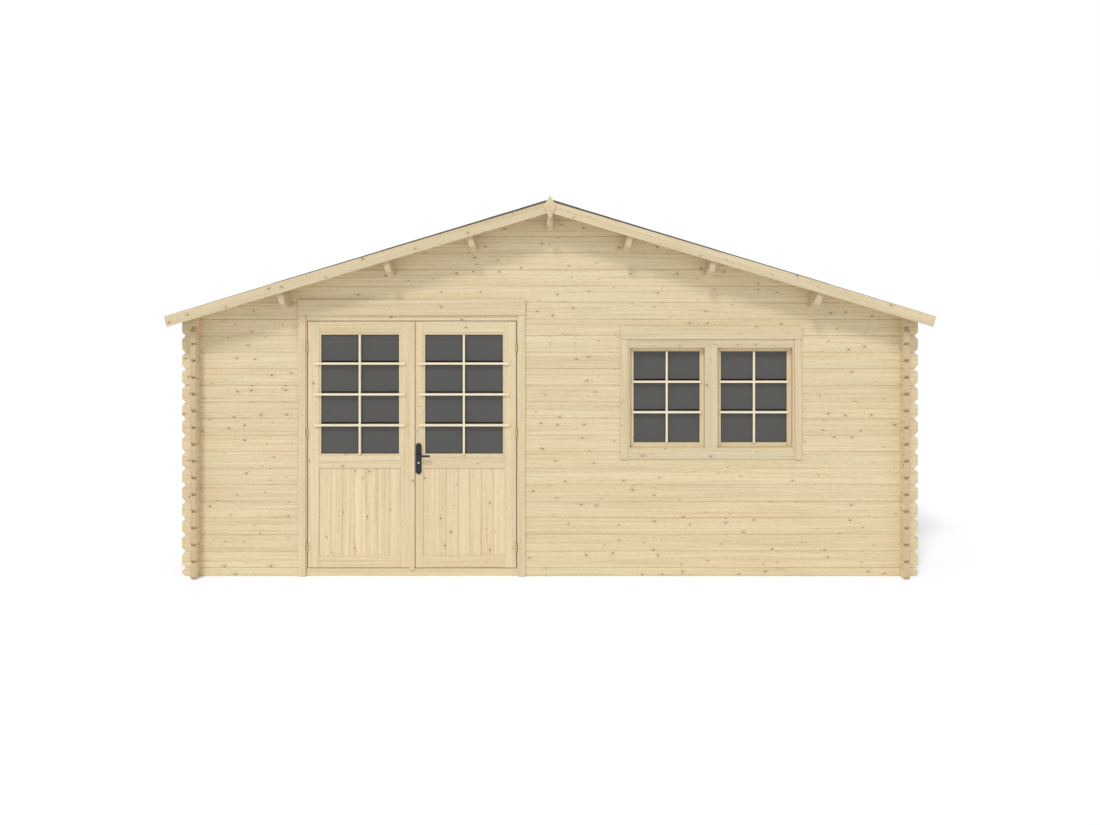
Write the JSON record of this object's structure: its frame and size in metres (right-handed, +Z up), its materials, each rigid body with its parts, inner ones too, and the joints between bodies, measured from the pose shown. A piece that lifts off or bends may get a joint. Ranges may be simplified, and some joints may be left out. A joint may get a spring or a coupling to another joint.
{
  "type": "log summerhouse",
  "caption": "Log summerhouse with interlocking corners, purlin gable roof, glazed double doors and a barred twin window.",
  "frame": {"origin": "on the ground under the middle of the house", "axes": "+Z up, +X to the right seen from the front, the doors face -Y"},
  "size_m": [6.0904, 4.7, 3.0656],
  "materials": {
    "log_pine": "planed, untreated pale pine with small knots",
    "roof_timber": "planed, untreated pale pine",
    "floor_timber": "planed, untreated pale pine boards",
    "roof_felt": "mineral-surfaced bitumen felt, matt",
    "trim_pine": "planed, untreated pale pine",
    "joinery_pine": "sanded, untreated pale pine joinery",
    "panel_pine": "planed, untreated pale pine boards",
    "pane_glass": "clear float glass, dark against the unlit room",
    "hinge_brass": "satin brass plating",
    "handle_black": "satin black powder coat",
    "lock_steel": "brushed nickel"
  },
  "bodies": {
    "house": {"front_wall_left": "log_pine", "front_wall_right": "log_pine", "front_gable": "log_pine", "back_wall": "log_pine", "back_gable": "log_pine", "left_wall": "log_pine", "right_wall": "log_pine", "ridge_purlin": "roof_timber", "left_purlins": "roof_timber", "right_purlins": "roof_timber", "left_roof_boards": "roof_timber", "right_roof_boards": "roof_timber", "eaves_battens": "roof_timber", "floor_bearers": "floor_timber", "floor_boards": "floor_timber", "left_roof_covering": "roof_felt", "right_roof_covering": "roof_felt", "front_bargeboards": "trim_pine", "back_bargeboards": "trim_pine", "front_finial": "trim_pine", "back_finial": "trim_pine", "door_casing": "trim_pine", "door_casing_inside": "trim_pine", "window_casing": "trim_pine", "window_casing_inside": "trim_pine", "door_jambs": "joinery_pine", "door_head": "joinery_pine", "door_threshold": "joinery_pine", "door_stops": "joinery_pine", "window_jambs": "joinery_pine", "window_rails": "joinery_pine", "window_sashes": "joinery_pine", "window_glass": "pane_glass", "hinge_pins": "hinge_brass"},
    "left_leaf": {"left_leaf_stiles": "joinery_pine", "left_leaf_rails": "joinery_pine", "left_leaf_panel": "panel_pine", "left_leaf_glass": "pane_glass", "meeting_strip": "joinery_pine", "left_leaf_hinges": "hinge_brass"},
    "right_leaf": {"right_leaf_stiles": "joinery_pine", "right_leaf_rails": "joinery_pine", "right_leaf_panel": "panel_pine", "right_leaf_glass": "pane_glass", "right_leaf_hinges": "hinge_brass", "handle_plates": "handle_black", "lock_cylinder": "lock_steel"},
    "lever": {"lever_handle": "handle_black"}
  },
  "joints": [
    {"name": "left_leaf_hinge", "type": "hinge", "parent": "house", "child": "left_leaf", "pos_m": [-1.961, -2.1335, 1], "axis": [0, 0, -1], "range_deg": [0, 160]},
    {"name": "right_leaf_hinge", "type": "hinge", "parent": "house", "child": "right_leaf", "pos_m": [-0.271, -2.1335, 1], "axis": [0, 0, 1], "range_deg": [0, 160]},
    {"name": "lever_turn", "type": "hinge", "parent": "right_leaf", "child": "lever", "pos_m": [-1.061, -2.125, 0.978], "axis": [0, 1, 0], "range_deg": [0, 40], "stiffness_Nm_per_rad": 1.5, "springref_deg": -17.19}
  ]
}
